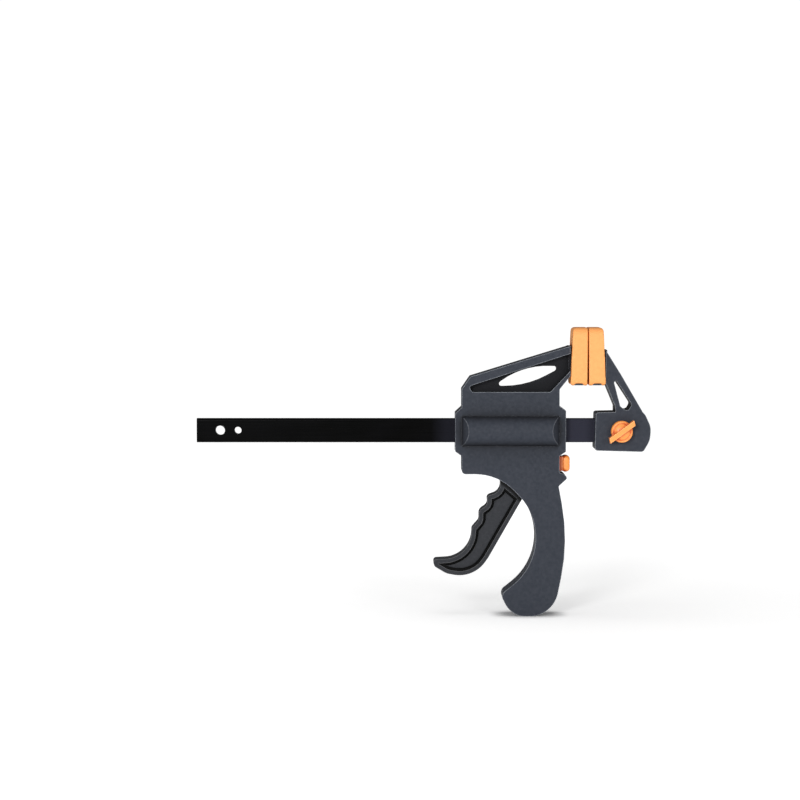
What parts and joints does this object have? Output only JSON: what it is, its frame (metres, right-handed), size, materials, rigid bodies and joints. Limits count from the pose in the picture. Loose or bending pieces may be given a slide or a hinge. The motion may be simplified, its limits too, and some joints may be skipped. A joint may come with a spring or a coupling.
{
  "type": "quick release bar clamp",
  "caption": "Hand clamp with a flat steel bar, a fixed jaw at one end and a sliding jaw driven by a trigger grip and freed by a button",
  "frame": {"origin": "middle of the plane where the two pads meet, on the fixed jaw's clamping face, with the clamp closed", "axes": "+X along the bar from the sliding jaw towards the fixed jaw, +Z from the bar up to the pads, -Y towards the side with the wing knob"},
  "size_m": [0.2624, 0.0318, 0.1671],
  "materials": {
    "blackened_steel": "satin black oxide over drawn steel",
    "grey_nylon": "fine matte moulding grain",
    "dark_nylon": "fine matte moulding grain",
    "orange_rubber": "soft matte rubber",
    "orange_nylon": "satin moulded nylon",
    "zinc_steel": "bright zinc plate",
    "plate_steel": "stamped hardened steel, oiled",
    "spring_steel": "drawn spring wire"
  },
  "bodies": {
    "fixed_end": {"bar": "blackened_steel", "fixed_jaw": "grey_nylon", "fixed_jaw_pad": "orange_rubber", "jaw_nut": "zinc_steel"},
    "sliding_jaw": {"front_shell": "grey_nylon", "back_shell": "grey_nylon", "moving_jaw_pad": "orange_rubber", "shell_screws": "zinc_steel", "trigger_pin": "zinc_steel", "drive_spring": "spring_steel", "brake_spring": "spring_steel"},
    "trigger_lever": {"trigger": "dark_nylon"},
    "drive": {"drive_plate_front": "plate_steel", "drive_plate_rear": "plate_steel", "drive_spring_seat": "plate_steel"},
    "brake": {"brake_plate": "plate_steel"},
    "release": {"release_button": "orange_nylon"},
    "screw_carrier": {"knob_washer": "zinc_steel"},
    "clamping_screw": {"wing_knob": "orange_nylon", "knob_stud": "zinc_steel"}
  },
  "joints": [
    {"name": "jaw_slide", "type": "slide", "parent": "fixed_end", "child": "sliding_jaw", "axis": [-1, 0, 0], "range_m": [0, 0.15]},
    {"name": "trigger_pivot", "type": "hinge", "parent": "sliding_jaw", "child": "trigger_lever", "pos_m": [-0.0408, 0, -0.067], "axis": [0, -1, 0], "range_deg": [0, 18], "stiffness_Nm_per_rad": 0.4, "springref_deg": -34.38},
    {"name": "drive_slide", "type": "slide", "parent": "sliding_jaw", "child": "drive", "axis": [-1, 0, 0], "range_m": [0, 0.0033], "deforming": ["drive_spring"]},
    {"name": "release_push", "type": "slide", "parent": "sliding_jaw", "child": "release", "axis": [-1, 0, 0], "range_m": [0, 0.0025], "stiffness_N_per_m": 800, "springref_m": -0.002},
    {"name": "brake_tilt", "type": "hinge", "parent": "sliding_jaw", "child": "brake", "pos_m": [-0.0243, 0, -0.029], "axis": [0, 1, 0], "range_deg": [0, 4.4], "deforming": ["brake_spring"]},
    {"name": "screw_travel", "type": "slide", "parent": "fixed_end", "child": "screw_carrier", "axis": [0, -1, 0], "range_m": [0, 0.0024]},
    {"name": "knob_turn", "type": "hinge", "parent": "screw_carrier", "child": "clamping_screw", "pos_m": [0.0193, 0, -0.043], "axis": [0, -1, 0], "range_deg": [0, 1080]}
  ],
  "couplings": [
    {"joint": "drive_slide", "follows": "trigger_pivot", "m_per_rad": 0.0105},
    {"joint": "brake_tilt", "follows": "release_push", "rad_per_m": 30},
    {"joint": "knob_turn", "follows": "screw_travel", "rad_per_m": 7853.9}
  ]
}
